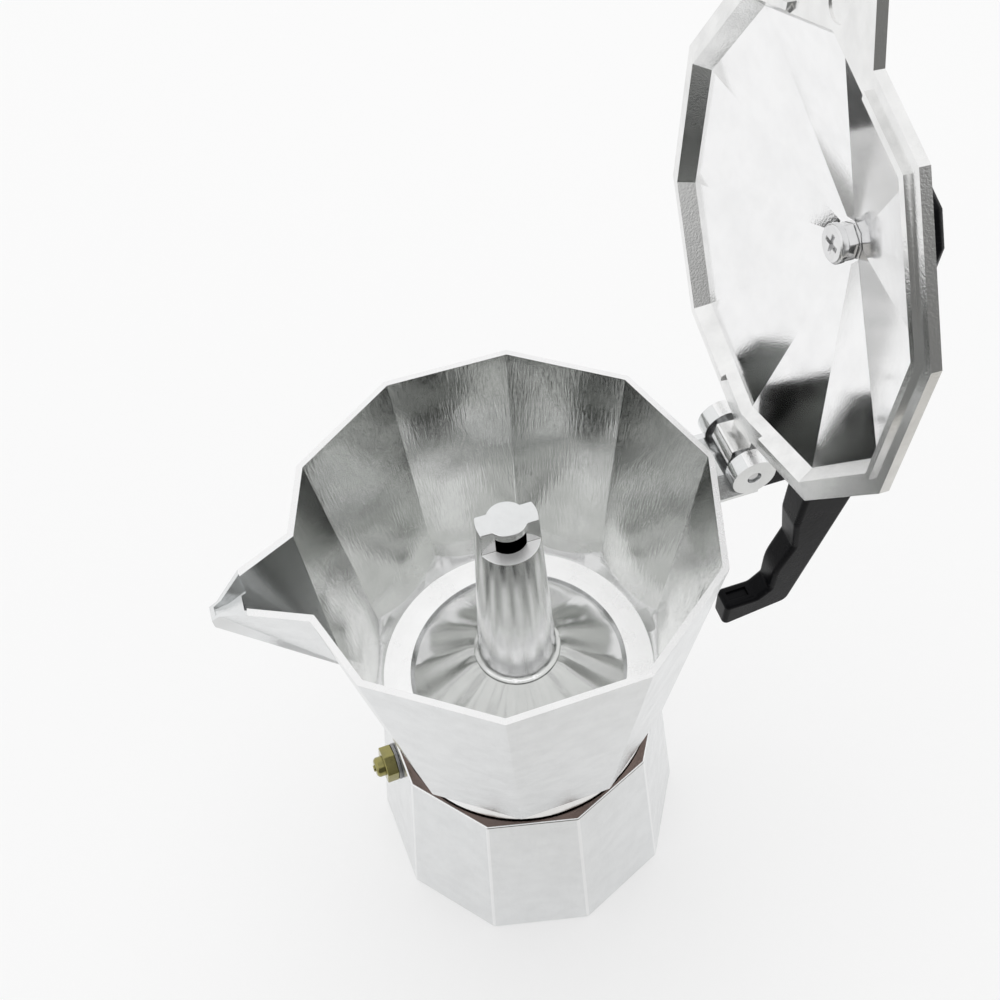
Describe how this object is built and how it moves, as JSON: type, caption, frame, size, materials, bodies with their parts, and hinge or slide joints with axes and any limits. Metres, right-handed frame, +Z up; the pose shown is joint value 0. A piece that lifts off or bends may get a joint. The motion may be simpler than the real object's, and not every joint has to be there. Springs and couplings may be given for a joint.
{
  "type": "moka pot",
  "caption": "Faceted stovetop coffee pot with screw-on upper chamber, pouring spout, hinged lid standing open, side handle, coffee funnel and safety valve.",
  "frame": {"origin": "centre of the boiler's flat base", "axes": "+Z up, +X from the pot's axis towards the handle and the lid hinge, -X towards the spout, hinge axis along Y"},
  "size_m": [0.1437, 0.0866, 0.2531],
  "materials": {
    "cast_aluminium": "satin, as cast and tumbled",
    "polished_aluminium": "polished",
    "pressed_aluminium": "drawn sheet, satin",
    "valve_brass": "turned, slightly dulled",
    "spring_steel": "bright wire",
    "fixing_steel": "zinc plated",
    "seal_rubber": "matt",
    "washer_rubber": "matt",
    "black_plastic": "moulded, semi-gloss"
  },
  "bodies": {
    "boiler": {"boiler": "cast_aluminium", "valve_body": "valve_brass", "valve_cap": "valve_brass", "valve_washer": "washer_rubber", "valve_lock_nut": "valve_brass", "valve_spring": "spring_steel", "funnel": "pressed_aluminium", "funnel_sieve": "pressed_aluminium"},
    "seal": {"gasket": "seal_rubber", "filter_plate": "pressed_aluminium"},
    "collector": {"collector": "cast_aluminium", "column": "polished_aluminium", "handle": "black_plastic", "handle_pin": "fixing_steel", "hinge_pin": "fixing_steel"},
    "lid": {"lid": "cast_aluminium", "knob": "black_plastic", "knob_insert": "valve_brass", "knob_screw": "fixing_steel", "knob_nut": "fixing_steel"},
    "valve_poppet": {"valve_pin": "valve_brass"}
  },
  "joints": [
    {"name": "collector_rise", "type": "slide", "parent": "boiler", "child": "seal", "axis": [0, 0, 1], "range_m": [0, 0.0091]},
    {"name": "collector_turn", "type": "hinge", "parent": "seal", "child": "collector", "pos_m": [0, 0, 0.067], "axis": [0, 0, 1], "range_deg": [0, 1080]},
    {"name": "lid_hinge", "type": "hinge", "parent": "collector", "child": "lid", "pos_m": [0.0498, 0, 0.1429], "axis": [0, 1, 0], "range_deg": [-91.9, 0]},
    {"name": "valve_lift", "type": "slide", "parent": "boiler", "child": "valve_poppet", "axis": [-0.9905, -0.071, 0.1177], "range_m": [0, 0.0015], "stiffness_N_per_m": 1500, "springref_m": -0.002, "deforming": ["valve_spring"]}
  ],
  "couplings": [
    {"joint": "collector_rise", "follows": "collector_turn", "m_per_rad": 0.00047746}
  ]
}
